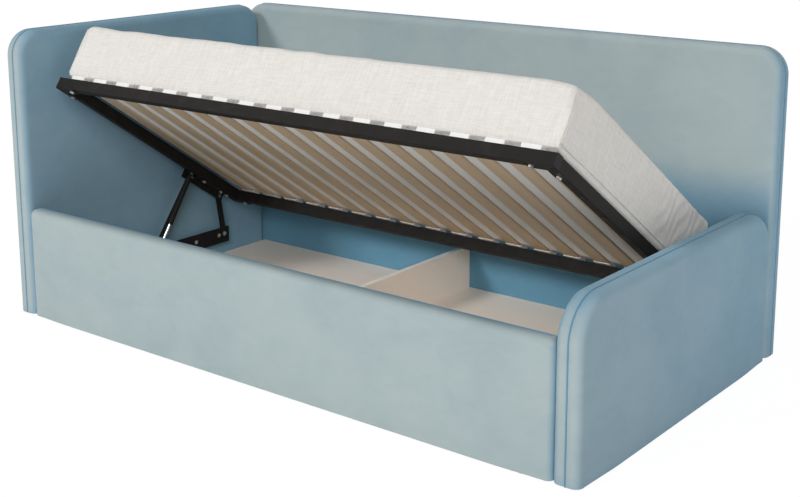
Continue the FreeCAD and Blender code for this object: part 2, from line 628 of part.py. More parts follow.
def build_box(parts):
    """Panels, rail, storage floor, divider, angles, glides and lift bases."""
    angle, screws = corner_angle()
    studs = panel_studs()
    bolts = base_bolts()
    all_screws = screws + [other_end(one) for one in screws]
    all_bolts = bolts + [other_end(one) for one in bolts]
    all_studs = studs + [other_end(one) for one in studs]
    fixings = all_screws + all_bolts + all_studs
    tall_cover, tall_board = end_panel(TALL_HEIGHT, TALL_CORNER)
    padded = {
        "head_panel": (other_end(tall_cover), other_end(tall_board)),
        "foot_panel": end_panel(FOOT_HEIGHT, FOOT_CORNER),
        "back_panel": back_panel(),
        "front_rail": front_rail(),
    }
    for name, (cover, board) in padded.items():
        parts[name + "_cover"] = without(cover.cut(board), fixings)
        parts[name + "_board"] = without(board, fixings)
    parts["head_storage_floor"], parts["foot_storage_floor"], parts["centre_divider"] = storage_floor()
    parts["corner_angles"] = both_ends([angle])
    parts["corner_angle_screws"] = Part.makeCompound(all_screws)
    parts["panel_studs"] = Part.makeCompound(all_studs)
    parts["floor_glides"] = floor_glides()
    parts["foot_lift_base"] = lift_base(bolts)
    parts["head_lift_base"] = other_end(parts["foot_lift_base"])
    parts["lift_base_bolts"] = Part.makeCompound(all_bolts)
    parts["lift_base_pins"] = both_ends(base_pins())


def build_linkage(parts):
    """Front and rear links and the gas struts, at both ends."""
    one_side = {
        "front_link": link(BASE_FRONT, FRAME_FRONT, RUNNING_FIT, RUNNING_FIT),
        "rear_link": link(BASE_REAR, FRAME_REAR, 0, RUNNING_FIT),
        "gas_rod": gas_rod(),
        "gas_cylinder": gas_cylinder(),
    }
    for name, shape in one_side.items():
        parts["foot_" + name] = shape
        parts["head_" + name] = other_end(shape)
    parts["rear_link_pins"] = both_ends([rear_link_pin()])


def build_frame(parts):
    """The tilted frame: tubes, plates, brackets, slats, holders and the mattress."""
    plates, corner_bolts = corner_plates()
    bolts = flange_bolts()
    tubes = {
        "front_frame_tube": tube_x(FRAME_DEPTH - TUBE_WIDTH),
        "rear_frame_tube": tube_x(0),
        "foot_frame_tube": side_tube(),
        "head_frame_tube": other_end(side_tube()),
    }
    under = corner_bolts + bolts
    under += [other_end(one) for one in under]
    for name, tube in tubes.items():
        parts[name] = lifted(without(tube, under))
    parts["tube_caps"] = lifted(both_ends(tube_caps()))
    parts["corner_plates"] = lifted(both_ends(plates))
    parts["corner_plate_bolts"] = lifted(both_ends(corner_bolts))
    parts["foot_frame_bracket"] = frame_bracket(bolts)
    parts["head_frame_bracket"] = other_end(parts["foot_frame_bracket"])
    parts["bracket_bolts"] = lifted(both_ends(bolts))
    parts["frame_pins"] = both_ends(frame_pins())
    slats = [slat(x) for x in slat_places()]
    for number, bar in enumerate(slats, 1):
        parts["slat_%02d" % number] = lifted(bar)
    parts["front_slat_holders"] = lifted(holders(slats, rear=False))
    parts["rear_slat_holders"] = lifted(holders(slats, rear=True))
    parts["mattress"] = lifted(mattress())


def main():
    """Build every piece, write its file and print its volume."""
    parts = {}
    build_box(parts)
    build_linkage(parts)
    build_frame(parts)
    for name, shape in parts.items():
        shape.exportStep("parts/%s.step" % name)
        print("%-22s solids %2d  valid %s  volume %.1f cm3"
              % (name, len(shape.Solids), shape.isValid(), shape.Volume / 1000))
    print("%d nodes" % len(parts))
    print("front link %.2f, rear link %.2f, strut %.2f mm"
          % ((FRAME_FRONT - BASE_FRONT).Length, (FRAME_REAR - BASE_REAR).Length, STRUT_LENGTH))


main()
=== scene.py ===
"""Looks of the storage bed: velvet covers, mattress, finishes, studio and camera."""
import json
import logging
import math
from dataclasses import dataclass, field
from enum import Enum
from typing import Any

import bmesh
import bpy
from mathutils import Matrix, Vector
from mathutils.bvhtree import BVHTree


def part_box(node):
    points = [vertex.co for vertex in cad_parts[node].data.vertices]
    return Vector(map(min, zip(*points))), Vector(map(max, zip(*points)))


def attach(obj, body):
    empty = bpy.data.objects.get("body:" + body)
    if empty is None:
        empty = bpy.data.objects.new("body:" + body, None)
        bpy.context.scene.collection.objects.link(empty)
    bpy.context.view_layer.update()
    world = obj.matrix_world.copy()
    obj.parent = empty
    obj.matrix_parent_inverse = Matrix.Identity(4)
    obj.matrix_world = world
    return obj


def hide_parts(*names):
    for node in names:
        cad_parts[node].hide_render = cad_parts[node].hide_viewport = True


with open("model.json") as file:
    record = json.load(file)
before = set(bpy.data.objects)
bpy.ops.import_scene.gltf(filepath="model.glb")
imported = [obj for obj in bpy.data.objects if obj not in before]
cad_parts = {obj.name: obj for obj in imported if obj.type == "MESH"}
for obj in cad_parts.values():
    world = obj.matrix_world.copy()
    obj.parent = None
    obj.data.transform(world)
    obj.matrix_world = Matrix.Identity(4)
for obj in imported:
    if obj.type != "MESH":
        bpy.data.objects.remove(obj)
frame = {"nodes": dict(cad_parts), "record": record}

log = logging.getLogger("storage_bed")

Mesh = bmesh.types.BMesh
Material = bpy.types.Material
Colour = tuple[float, float, float]
Triple = tuple[float, float, float]
Span = tuple[float, float]

TILT = math.radians(34.35)
FRAME_ORIGIN: Triple = (0.0, 0.2742, 0.2209)
LIFTED = Matrix.Translation(FRAME_ORIGIN) @ Matrix.Rotation(-TILT, 4, "X")
ALONG_FRAME: Triple = (TILT, 0.0, 0.0)
PAINTED_LIGHT = "nap"
UNDERSIDE = "underside"
TOUCHING = 1e-5
CUT_SNAP = 1e-6
LENGTHWISE = Vector((1.0, 0.0, 0.0))
CROSSWISE = Vector((0.0, 1.0, 0.0))
UPWARD = Vector((0.0, 0.0, 1.0))


def placed(name: str, data: bpy.types.ID) -> bpy.types.Object:
    """Puts a new object into the scene.

    Args:
        name: The object's name.
        data: Its mesh, lamp or camera.

    Returns:
        The object, at the origin.
    """
    thing = bpy.data.objects.new(name, data)
    bpy.context.scene.collection.objects.link(thing)
    return thing


class Slot(Enum):
    """The record's material slots."""

    VELVET = "velvet"
    PANEL_BOARD = "panel_board"
    MATTRESS_CLOTH = "mattress_cloth"
    SLAT_WOOD = "slat_wood"
    LAMINATE = "laminated_board"
    BLACK_PLASTIC = "black_plastic"
    PALE_PLASTIC = "pale_plastic"
    POLISHED_ROD = "polished_rod"
    BRIGHT_STEEL = "bright_steel"
    BLACK_STEEL = "black_steel"


class Facing(Enum):
    """Which way a panel's two big faces look."""

    ALONG_BED = "x"
    ACROSS_BED = "y"


class Rounding(Enum):
    """What a rounding takes off a mesh."""

    EDGES = "EDGES"
    CORNERS = "VERTICES"


class Blend(Enum):
    """How one colour is laid on another."""

    MIX = "MIX"
    MULTIPLY = "MULTIPLY"


class Signal:
    """One node's output, on which plain arithmetic adds Math nodes."""

    def __init__(self, bench: "NodeBench", socket: bpy.types.NodeSocket) -> None:
        """Holds an output and the bench that makes further nodes."""
        self.bench = bench
        self.socket = socket

    def __add__(self, other: "Signal | float") -> "Signal":
        """This plus other."""
        return self.bench.math("ADD", self, other)

    def __radd__(self, other: float) -> "Signal":
        """A number plus this."""
        return self.bench.math("ADD", other, self)

    def __sub__(self, other: "Signal | float") -> "Signal":
        """This less other."""
        return self.bench.math("SUBTRACT", self, other)

    def __rsub__(self, other: float) -> "Signal":
        """A number less this."""
        return self.bench.math("SUBTRACT", other, self)

    def __mul__(self, other: "Signal | float") -> "Signal":
        """This times other."""
        return self.bench.math("MULTIPLY", self, other)

    def __rmul__(self, other: float) -> "Signal":
        """A number times this."""
        return self.bench.math("MULTIPLY", other, self)

    def between(self, low: float, high: float) -> "Signal":
        """Rises smoothly from 0 at low to 1 at high."""
        node = self.bench.node("ShaderNodeMapRange", {"interpolation_type": "SMOOTHSTEP"},
                               {0: self, 1: low, 2: high, 3: 0.0, 4: 1.0})
        return Signal(self.bench, node.outputs[0])


class NodeBench:
    """A material or a sky being put together from nodes."""

    def __init__(self, owner: Material | bpy.types.World, shader: str, end: str) -> None:
        """Starts with one shader on the output and nothing else.

        Args:
            owner: The material or the sky.
            shader: The shader node's type.
            end: The output node's type.
        """
        self.owner = owner
        owner.use_nodes = True
        self.tree = owner.node_tree
        self.tree.nodes.clear()
        self.shader = self.node(shader)
        self.end = self.node(end, None, {"Surface": Signal(self, self.shader.outputs[0])})

    @classmethod
    def of_material(cls, name: str) -> "NodeBench":
        """A bench for a new material."""
        return cls(bpy.data.materials.new(name), "ShaderNodeBsdfPrincipled", "ShaderNodeOutputMaterial")

    @classmethod
    def of_sky(cls, name: str) -> "NodeBench":
        """A bench for a new sky."""
        return cls(bpy.data.worlds.new(name), "ShaderNodeBackground", "ShaderNodeOutputWorld")

    def node(self, kind: str, settings: dict[str, Any] | None = None,
             sockets: dict[str | int, Any] | None = None) -> bpy.types.Node:
        """Adds any node.

        Args:
            kind: The node's type.
            settings: Its properties, set first.
            sockets: Values or signals for its inputs, by name or number.

        Returns:
            The new node.
        """
        made = self.tree.nodes.new(kind)
        for key, value in (settings or {}).items():
            setattr(made, key, value)
        for key, value in (sockets or {}).items():
            self.feed(made.inputs[key], value)
        return made

    def feed(self, socket: bpy.types.NodeSocket, value: Any) -> None:
        """Links a signal to an input, or sets the input's own value.

        Args:
            socket: The input.
            value: A signal, a number, a colour or a vector.
        """
        if isinstance(value, Signal):
            self.tree.links.new(value.socket, socket)
        elif socket.type == "RGBA":
            socket.default_value = (*value, 1.0)
        else:
            socket.default_value = value

    def math(self, operation: str, first: Signal | float, second: Signal | float) -> Signal:
        """The result of one Math node on two inputs."""
        node = self.node("ShaderNodeMath", {"operation": operation}, {0: first, 1: second})
        return Signal(self, node.outputs[0])

    def place(self, stretch: Triple = (1.0, 1.0, 1.0), turn: Triple = (0.0, 0.0, 0.0),
              flat: bool = False) -> Signal:
        """Where a point is on its piece, turned and stretched.

        Args:
            stretch: How much finer the pattern runs along each axis.
            turn: A turn that lays the pattern along the piece, applied before the stretch.
            flat: Read the piece's own UV map in place of its Object coordinates.

        Returns:
            The coordinates.
        """
        read = self.node("ShaderNodeTexCoord")
        spot = Signal(self, read.outputs["UV" if flat else "Object"])
        turned = self.node("ShaderNodeMapping", None, {"Vector": spot, "Rotation": turn})
        scaled = self.node("ShaderNodeMapping", None,
                           {"Vector": Signal(self, turned.outputs[0]), "Scale": stretch})
        return Signal(self, scaled.outputs[0])

    def noise(self, where: Signal, scale: float, detail: float = 2.0, bend: float = 0.0) -> Signal:
        """A cloudy pattern from about 0 to 1.

        Args:
            where: Coordinates.
            scale: Clouds per metre.
            detail: How many finer layers it has.
            bend: How much it is distorted.

        Returns:
            The pattern.
        """
        node = self.node("ShaderNodeTexNoise", None,
                         {"Vector": where, "Scale": scale, "Detail": detail, "Distortion": bend})
        return Signal(self, node.outputs[0])

    def axis(self, where: Signal, which: str) -> Signal:
        """One coordinate of a vector."""
        return Signal(self, self.node("ShaderNodeSeparateXYZ", None, {0: where}).outputs[which])

    def mix(self, share: Signal | float, first: Signal | Colour, second: Signal | Colour,
            blend: Blend = Blend.MIX) -> Signal:
        """A colour between two others.

        Args:
            share: 0 for the first colour and 1 for the second.
            first: One colour.
            second: The other colour.
            blend: How the second colour is laid on the first.

        Returns:
            The mixed colour.
        """
        node = self.node("ShaderNodeMix",
                         {"data_type": "RGBA", "blend_type": blend.value, "clamp_factor": True},
                         {0: share, 6: first, 7: second})
        return Signal(self, node.outputs[2])

    def bump(self, height: Signal, depth: float, strength: float = 1.0) -> Signal:
        """A normal that follows a height.

        Args:
            height: The height, from 0 to 1.
            depth: How many metres a height of 1 stands for.
            strength: How much of it counts.

        Returns:
            The normal.
        """
        node = self.node("ShaderNodeBump", None,
                         {"Height": height, "Distance": depth, "Strength": strength})
        return Signal(self, node.outputs[0])

    def finish(self, sockets: dict[str, Any]) -> Material | bpy.types.World:
        """Feeds the shader and hands the material or sky over.

        Args:
            sockets: Values or signals for the shader's inputs.

        Returns:
            The finished material or sky.
        """
        for key, value in sockets.items():
            self.feed(self.shader.inputs[key], value)
        return self.owner


@dataclass(frozen=True)
class Velvet:
    """Short-pile velvet with painted light and shade: greyer on faces turned to the lamps, bluer on faces
    turned away, deep in the well.
    """

    name: str = "blue_velvet"
    # Painted shade: the deep colour low inside the box and on the welts, where shade falls.
    deep: Colour = (0.12, 0.275, 0.385)
    # Painted shade: the bluer colour of faces turned away from the lamps.
    shaded_blue: Colour = (0.222, 0.362, 0.458)
    # Painted light: the greyer colour of faces turned to the lamps.
    lit_face: Colour = (0.35, 0.415, 0.42)
    stroked: Colour = (0.80, 0.83, 0.85)
    pile_depth: float = 0.0006

    def material(self) -> Material:
        """The velvet's nodes.

        Returns:
            The material.
        """
        bench = NodeBench.of_material(self.name)
        where = bench.place()
        # This attribute carries the painted light and shade laid on each vertex of the covers.
        nap = bench.node("ShaderNodeAttribute", {"attribute_name": PAINTED_LIGHT})
        cloud = bench.noise(where, 4.2, 2.0, 0.3)
        strokes = bench.noise(bench.place((1.0, 1.0, 1.8)), 15.0, 3.0, 0.9)
        pile = bench.noise(where, 420.0, 2.0)
        # Random cloudy mottling is added to the painted light and shade.
        lie_and_light = Signal(bench, nap.outputs["Fac"]) + (cloud - 0.5) * 0.35
        shade = cloud.between(0.68, 0.30) * 0.35 + (0.5 - strokes) * 0.7 + (0.5 - pile) * 0.5 + 0.2
        # Painted light and shade: lit grey where faces turn to the lamps, shaded blue where they turn away.
        worn_and_lit = bench.mix(lie_and_light, self.shaded_blue, self.lit_face)
        # Painted shade: the deep colour where shade falls in the well and along the welts.
        well_shaded = bench.mix(0.0 - lie_and_light, worn_and_lit, self.deep)
        return bench.finish({
            "Base Color": bench.mix(shade, well_shaded, self.stroked, Blend.MULTIPLY),
            "Roughness": 0.8 + pile * 0.18,
            "Specular IOR Level": 0.2,
            "Sheen Weight": 0.15,
            "Sheen Roughness": 0.45,
            "Sheen Tint": (0.92, 0.95, 0.95),
            "Normal": bench.bump(pile * 0.7 + strokes * 0.6, self.pile_depth, 0.6),
        })


@dataclass(frozen=True)
class Linen:
    """Slubby off-white cover cloth, woven along its own UV map."""

    name: str = "slub_linen"
    thread: Colour = (0.738, 0.72, 0.692)
    hollow: Colour = (0.605, 0.573, 0.528)
    # Painted light: a paler colour for the underside, which lies in shade over the slats.
    lit_underside: Colour = (0.87, 0.845, 0.805)
    weave_depth: float = 0.0013

    def material(self) -> Material:
        """The linen's nodes.

        Returns:
            The material.
        """
        bench = NodeBench.of_material(self.name)
        weft = bench.noise(bench.place((26.0, 270.0, 1.0), flat=True), 1.0, 2.0, 0.5)
        warp = bench.noise(bench.place((270.0, 26.0, 1.0), flat=True), 1.0, 2.0, 0.5)
        slub = bench.noise(bench.place((16.0, 150.0, 1.0), flat=True), 1.0, 3.0, 0.6)
        upright = bench.noise(bench.place((150.0, 13.0, 1.0), flat=True), 1.0, 3.0, 0.6)
        drift = bench.noise(bench.place((6.0, 6.0, 1.0), flat=True), 1.0, 2.0)
        weave = weft * 0.5 + warp * 0.5
        uneven = (slub - 0.5) * 0.7 + (upright - 0.5) * 1.0 + (drift - 0.5) * 0.4
        tone = (weave - 0.5) * 2.0 + uneven + 0.58
        woven = bench.mix(tone, self.hollow, self.thread)
        # Painted light: the underside is mixed towards the paler colour.
        under = bench.node("ShaderNodeAttribute", {"attribute_name": UNDERSIDE})
        paler = Signal(bench, under.outputs["Fac"]) * (weave * 0.4 + 0.6)
        return bench.finish({
            "Base Color": bench.mix(paler, woven, self.lit_underside),
            "Roughness": 0.86 + weave * 0.12,
            "Specular IOR Level": 0.2,
            "Sheen Weight": 0.15,
            "Sheen Roughness": 0.6,
            "Normal": bench.bump(weave + slub * 0.5 + upright * 0.6, self.weave_depth, 0.7),
        })


@dataclass(frozen=True)
class SlatWood:
    """Bent beech ply with its grain along the slat."""

    name: str = "beech_slats"
    light: Colour = (0.68, 0.52, 0.345)
    dark: Colour = (0.52, 0.38, 0.235)

    def material(self) -> Material:
        """The wood's nodes.

        Returns:
            The material.
        """
        bench = NodeBench.of_material(self.name)
        grain = bench.noise(bench.place((190.0, 5.0, 190.0), ALONG_FRAME), 1.0, 4.0, 0.7)
        flecks = bench.noise(bench.place((700.0, 60.0, 700.0), ALONG_FRAME), 1.0, 2.0)
        batch = bench.noise(bench.place((9.0, 0.6, 9.0), ALONG_FRAME), 1.0, 1.0)
        tone = (grain - 0.5) * 1.3 + (batch - 0.5) * 0.9 + 0.5 - flecks.between(0.62, 0.74) * 0.35
        return bench.finish({
            "Base Color": bench.mix(tone, self.dark, self.light),
            "Roughness": 0.42 + grain * 0.2,
            "Coat Weight": 0.12,
            "Coat Roughness": 0.3,
            "Normal": bench.bump(grain - flecks * 0.4, 0.0003, 0.5),
        })


@dataclass(frozen=True)
class Laminate:
    """Pale melamine board with a faint printed figure."""

    name: str = "beige_laminate"
    light: Colour = (0.955, 0.84, 0.735)
    dark: Colour = (0.91, 0.785, 0.675)

    def material(self) -> Material:
        """The board's nodes.

        Returns:
            The material.
        """
        bench = NodeBench.of_material(self.name)
        figure = bench.noise(bench.place((3.0, 60.0, 60.0)), 1.0, 3.0, 0.5)
        pores = bench.noise(bench.place((60.0, 900.0, 900.0)), 1.0, 1.0)
        tone = (figure - 0.5) * 1.1 + (pores - 0.5) * 0.4 + 0.55
        return bench.finish({
            "Base Color": bench.mix(tone, self.dark, self.light),
            "Roughness": 0.44 + figure * 0.14,
            "Normal": bench.bump(pores, 0.0001, 0.5),
        })


@dataclass(frozen=True)
class Chipboard:
    """Raw chipboard, seen only under the covers' lower edges."""

    name: str = "raw_chipboard"
    light: Colour = (0.55, 0.42, 0.27)
    dark: Colour = (0.34, 0.24, 0.14)

    def material(self) -> Material:
        """The board's nodes.

        Returns:
            The material.
        """
        bench = NodeBench.of_material(self.name)
        chips = bench.noise(bench.place((1.0, 1.0, 2.5)), 170.0, 3.0, 1.2)
        dust = bench.noise(bench.place(), 900.0, 1.0)
        return bench.finish({
            "Base Color": bench.mix(chips.between(0.3, 0.7) + (dust - 0.5) * 0.3, self.dark, self.light),
            "Roughness": 0.8 + dust * 0.15,
            "Normal": bench.bump(chips + dust * 0.4, 0.0008, 0.6),
        })


@dataclass(frozen=True)
class PaintedSteel:
    """Powder-coated steel with a fine orange-peel skin."""

    name: str = "black_powder_coat"
    colour: Colour = (0.014, 0.013, 0.0115)
    worn_and_lit: Colour = (0.022, 0.0205, 0.0185)
    gloss: float = 0.52

    def material(self) -> Material:
        """The paint's nodes.

        Returns:
            The material.
        """
        bench = NodeBench.of_material(self.name)
        skin = bench.noise(bench.place(), 650.0, 1.0)
        rubbed = bench.noise(bench.place(), 26.0, 4.0, 0.6)
        return bench.finish({
            "Base Color": bench.mix(rubbed.between(0.45, 0.8), self.colour, self.worn_and_lit),
            "Roughness": self.gloss + (rubbed - 0.5) * 0.22,
            "Specular IOR Level": 0.08,
            "Normal": bench.bump(skin, 0.0002, 0.35),
        })


@dataclass(frozen=True)
class BareSteel:
    """Zinc-plated or polished steel."""

    name: str = "zinc_plate"
    colour: Colour = (0.72, 0.72, 0.71)
    dull: Colour = (0.56, 0.57, 0.58)
    gloss: float = 0.3
    lie_and_light: Triple = (300.0, 300.0, 300.0)

    def material(self) -> Material:
        """The metal's nodes.

        Returns:
            The material.
        """
        bench = NodeBench.of_material(self.name)
        brushed = bench.noise(bench.place(self.lie_and_light, ALONG_FRAME), 1.0, 2.0)
        spangle = bench.noise(bench.place(), 90.0, 2.0, 0.5)
        return bench.finish({
            "Base Color": bench.mix(spangle, self.dull, self.colour),
            "Metallic": 1.0,
            "Roughness": self.gloss + (brushed - 0.5) * 0.16,
            "Normal": bench.bump(brushed, 0.0001, 0.2),
        })


@dataclass(frozen=True)
class MouldedPlastic:
    """Moulded plastic with a fine spark-eroded texture."""

    name: str
    colour: Colour
    dull: Colour
    gloss: float = 0.45
    shine: float = 0.5

    def material(self) -> Material:
        """The plastic's nodes.

        Returns:
            The material.
        """
        bench = NodeBench.of_material(self.name)
        spark = bench.noise(bench.place(), 800.0, 2.0)
        flow = bench.noise(bench.place(), 38.0, 2.0, 0.8)
        return bench.finish({
            "Base Color": bench.mix(flow, self.dull, self.colour),
            "Roughness": self.gloss + (spark - 0.5) * 0.2 + (flow - 0.5) * 0.1,
            "Specular IOR Level": self.shine,
            "Normal": bench.bump(spark, 0.00025, 0.4),
        })


@dataclass(frozen=True)
class Piping:
    """A thin round trim laid along a line."""

    radius: float
    roundness: int = 2

    def swept(self, line: list[Vector]) -> Mesh:
        """The trim's skin along a line.

        Args:
            line: Points that the trim follows, in metres.

        Returns:
            A mesh of the trim.
        """
        curve = bpy.data.curves.new("piping_line", "CURVE")
        curve.dimensions = "3D"
        curve.bevel_depth = self.radius
        curve.bevel_resolution = self.roundness
        curve.use_fill_caps = True
        spline = curve.splines.new("POLY")
        spline.points.add(len(line) - 1)
        for point, spot in zip(spline.points, line):
            point.co = (*spot, 1.0)
        holder = bpy.data.objects.new("piping_line", curve)
        skin = bpy.data.meshes.new_from_object(holder)
        mesh = bmesh.new()
        mesh.from_mesh(skin)
        bpy.data.objects.remove(holder)
        bpy.data.curves.remove(curve)
        bpy.data.meshes.remove(skin)
        bmesh.ops.remove_doubles(mesh, verts=mesh.verts[:], dist=TOUCHING)
        return mesh


@dataclass(kw_only=True)
class Assembly:
    """What the bed's sub-assemblies share: how a shaped mesh becomes a piece of the bed."""

    body: str = "bed_box"

    def keep(self, name: str, mesh: Mesh, finish: Material, slot: Slot,
             crease: float = 40.0) -> bpy.types.Object:
        """Turns a shaped mesh into a piece that rides on this assembly's body.

        Args:
            name: The piece's name.
            mesh: Its shape, in place.
            finish: Its material.
            slot: The record's slot for its finish; not used.
            crease: The angle in degrees past which an edge stays sharp.

        Returns:
            The piece.
        """
        bmesh.ops.recalc_face_normals(mesh, faces=mesh.faces[:])
        data = bpy.data.meshes.new(name)
        mesh.to_mesh(data)
        mesh.free()
        data.shade_smooth()
        data.set_sharp_from_angle(angle=math.radians(crease))
        data.materials.append(finish)
        piece = placed(name, data)
        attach(piece, self.body)
        log.info("%s on %s: %d faces", name, self.body, len(data.polygons))
        return piece

    @staticmethod
    def sliced(mesh: Mesh, way: Vector, spots: list[float]) -> None:
        """Cuts a mesh across at several places.

        Args:
            mesh: The mesh to cut.
            way: The direction that the cuts face.
            spots: How far along that direction each cut lies.
        """
        for spot in spots:
            bmesh.ops.bisect_plane(mesh, geom=mesh.verts[:] + mesh.edges[:] + mesh.faces[:],
                                   dist=CUT_SNAP, plane_co=way * spot, plane_no=way)

    @staticmethod
    def rounded(mesh: Mesh, geom: list[Any], size: float, segments: int,
                what: Rounding = Rounding.EDGES) -> None:
        """Rounds edges or corners of a mesh.

        Args:
            mesh: The mesh.
            geom: Its edges, or the vertices at its corners.
            size: How far back the rounding starts.
            segments: How many faces it is made of.
            what: Whether edges or corners are rounded.
        """
        bmesh.ops.bevel(mesh, geom=geom, offset=size, offset_type="OFFSET", segments=segments,
                        profile=0.5, affect=what.value, material=-1)

    @staticmethod
    def share(value: float, low: float, high: float) -> float:
        """How far a value is on its way from low to high, from 0 to 1."""
        return min(max((value - low) / (high - low), 0.0), 1.0)

    @classmethod
    def eased(cls, value: float, low: float, high: float) -> float:
        """Rises smoothly from 0 at low to 1 at high."""
        part = cls.share(value, low, high)
        return part * part * (3.0 - 2.0 * part)

    @staticmethod
    def steps(low: float, high: float, pitch: float) -> list[float]:
        """Even places between two ends, both left out."""
        count = max(int(round((high - low) / pitch)), 1)
        return [low + (high - low) * n / count for n in range(1, count)]


@dataclass(kw_only=True)
class PaddedPanel(Assembly):
    """One upholstered panel of the box: a velvet cover over foam, with a welt round its edge."""

    name: str
    facing: Facing
    corner: float
    edge: float = 0.022
    pitch: float = 0.03
    hem: float = 0.001
    swell_out: float = 0.005
    swell_in: float = 0.0
    outward: float = 1.0
    swell_from: float = 0.0
    welt: float = 0.0019
    groove: float = 0.0026
    lip: float = 0.0034
    seat: float = 0.35
    crown_run: float = 0.16
    swell_run: float = 0.15
    fill: float = 0.95
    # Painted light and shade: the well's deep shade fades out between these heights, the ends' side faces
    # take painted light towards the front, and the ends' inner faces take this share of deep shade.
    well: Span = (0.36, 0.56)
    swept: float = 0.45
    sweep_end: float = 0.45
    end_inner_shade: float = 0.25
    corner_faces: int = 14
    edge_faces: int = 6
    width: float = field(init=False)
    height: float = field(init=False)
    thick: float = field(init=False)
    stand: Matrix = field(init=False)

    def __post_init__(self) -> None:
        """Takes the panel's size and place from the frame."""
        low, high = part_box(self.name + "_cover")
        size, middle = high - low, (low + high) / 2
        along = self.facing is Facing.ALONG_BED
        self.width, self.thick = (size.y, size.x) if along else (size.x, size.y)
        self.height = size.z - self.hem
        turn = Matrix.Rotation(math.pi / 2, 4, "Z") if along else Matrix()
        self.stand = Matrix.Translation((middle.x, middle.y, low.z + self.hem)) @ turn

    def painted_light_and_shade(self, mesh: Mesh, seam: bool = False) -> None:
        """Lays painted light and shade on each vertex: lit to the front and back, shaded to the sides, deep
        shade inside the box and in a seam.

        Args:
            mesh: A cover or welt, in place.
            seam: Whether it is a welt, painted all over in the seam's deep shade.
        """
        layer = mesh.verts.layers.float.new(PAINTED_LIGHT)
        mesh.normal_update()
        for vert in mesh.verts:
            inward = vert.normal.x * vert.co.x + vert.normal.y * vert.co.y < 0.0
            # Painted light: faces turned to the front or back take the lit grey.
            lit_face = vert.normal.y ** 2
            if self.facing is Facing.ACROSS_BED:
                # Across the bed, tops take painted light too, and inner faces low in the box take the painted
                # shade of the well.
                lit_face += vert.normal.z ** 2
                deep = 1.0 - self.share(vert.co.z, *self.well)
            else:
                # Along the bed, side faces take painted light towards the front, and inner faces a share of
                # painted shade.
                lit_face += vert.normal.x ** 2 * self.swept * self.share(self.sweep_end - vert.co.y, 0.0, 1.0)
                deep = self.end_inner_shade
            if seam:
                # A welt is painted in deep shade all over, for the shadow of its seam.
                vert[layer] = -1.0
            elif inward:
                vert[layer] = lit_face - (lit_face + 1.0) * deep
            else:
                vert[layer] = lit_face

    def outline(self) -> Mesh:
        """The panel's upright outline as one face, its top corners rounded.

        Returns:
            A mesh with that face, standing on z 0 in the XZ plane.
        """
        mesh = bmesh.new()
        bmesh.ops.create_grid(mesh, x_segments=1, y_segments=1, size=0.5)
        bmesh.ops.scale(mesh, vec=(self.width, self.height, 1.0), verts=mesh.verts)
        bmesh.ops.rotate(mesh, matrix=Matrix.Rotation(math.pi / 2, 3, "X"), verts=mesh.verts)
        bmesh.ops.translate(mesh, vec=UPWARD * (self.height / 2), verts=mesh.verts)
        top = [vert for vert in mesh.verts if vert.co.z > self.height / 2]
        self.rounded(mesh, top, self.corner, self.corner_faces, Rounding.CORNERS)
        return mesh

    def padded_mesh(self) -> Mesh:
        """The cover's shape round the panel's own middle line.

        Returns:
            The cover's mesh, in even squares.
        """
        mesh = self.outline()
        bmesh.ops.translate(mesh, vec=CROSSWISE * (-self.thick / 2), verts=mesh.verts)
        raised = bmesh.ops.extrude_face_region(mesh, geom=mesh.faces[:])["geom"]
        moved = [item for item in raised if isinstance(item, bmesh.types.BMVert)]
        bmesh.ops.translate(mesh, vec=CROSSWISE * self.thick, verts=moved)
        bmesh.ops.recalc_face_normals(mesh, faces=mesh.faces[:])
        rims = [edge for edge in mesh.edges if abs(edge.verts[0].co.y - edge.verts[1].co.y) < TOUCHING
                and max(vert.co.z for vert in edge.verts) > TOUCHING]
        self.rounded(mesh, rims, self.edge, self.edge_faces)
        if self.welt:
            self.sliced(mesh, CROSSWISE, [-self.lip, 0.0, self.lip])
        self.sliced(mesh, LENGTHWISE, self.steps(-self.width / 2, self.width / 2, self.pitch))
        self.sliced(mesh, UPWARD, self.steps(0.0, self.height, self.pitch))
        return mesh

    def swollen(self, mesh: Mesh) -> None:
        """Crowns the cover's two faces and draws its seam in.

        Args:
            mesh: The cover's mesh.
        """
        mesh.normal_update()
        seam = [vert for vert in mesh.verts if self.welt and abs(vert.co.y) < TOUCHING
                and vert.normal.y ** 2 < 0.5]
        for vert in seam:
            vert.co -= vert.normal * self.groove
        for vert in mesh.verts:
            if abs(vert.co.y) < self.thick / 2 - TOUCHING:
                continue
            inner = min(self.width / 2 - abs(vert.co.x), self.height - vert.co.z) - self.edge
            crown = self.eased(inner, 0.0, self.crown_run)
            outside = vert.co.y * self.outward > 0.0
            if not outside:
                crown *= self.eased(vert.co.z, self.swell_from, self.swell_from + self.swell_run)
            vert.co.y += math.copysign(crown * (self.swell_out if outside else self.swell_in), vert.co.y)

    def welt_line(self) -> list[Vector]:
        """The welt's line from the floor, over the top and down again.

        Returns:
            Points along the outline at mid thickness.
        """
        outline = self.outline()
        line = [vert.co.copy() for vert in outline.verts]
        outline.free()
        return sorted(line, key=lambda spot: math.atan2(spot.x, spot.z - self.height / 2))

    def build(self, velvet: Material) -> None:
        """Makes the cover and its welt.

        Args:
            velvet: The cover's finish.
        """
        mesh = self.padded_mesh()
        self.swollen(mesh)
        bmesh.ops.transform(mesh, matrix=self.stand, verts=mesh.verts)
        # Lays painted light and shade on the cover.
        self.painted_light_and_shade(mesh)
        cover = self.keep(self.name + "_velvet", mesh, velvet, Slot.VELVET, crease=60.0)
        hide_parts(self.name + "_cover")
        if self.welt:
            trim = Piping(self.welt).swept(self.welt_line())
            bmesh.ops.translate(trim, vec=CROSSWISE * (-self.lip * self.seat), verts=trim.verts)
            bmesh.ops.transform(trim, matrix=self.stand, verts=trim.verts)
            # The welt takes the deep painted shade of its seam all over.
            self.painted_light_and_shade(trim, seam=True)
            self.keep(self.name + "_welt", trim, velvet, Slot.VELVET, crease=80.0)


